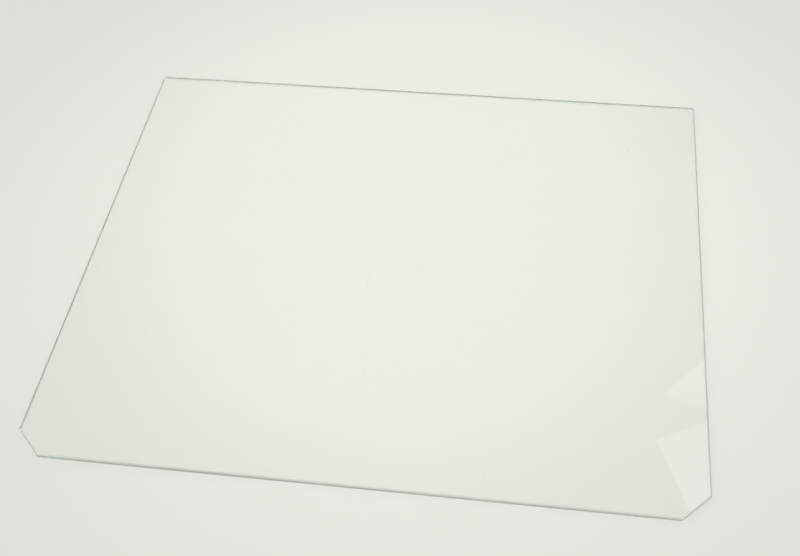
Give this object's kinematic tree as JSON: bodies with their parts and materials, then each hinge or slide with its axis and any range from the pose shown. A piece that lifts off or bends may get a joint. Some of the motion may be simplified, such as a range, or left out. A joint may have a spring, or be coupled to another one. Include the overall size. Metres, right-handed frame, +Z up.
{
  "type": "refrigerator glass shelf",
  "caption": "Flat clear glass shelf pane with clipped front corners and ground edges; lies on the side ledges of a refrigerator and carries food.",
  "frame": {"origin": "middle of the pane's underside, on the plane that it rests on", "axes": "+X to the right across the width, +Y from the clipped front edge to the rear edge, +Z up through the thickness"},
  "size_m": [0.47, 0.4, 0.004],
  "materials": {
    "clear_glass": "clear toughened float glass with a faint green cast, fire-polished faces and satin ground edges"
  },
  "bodies": {
    "root": {"glass_pane": "clear_glass"}
  },
  "joints": []
}
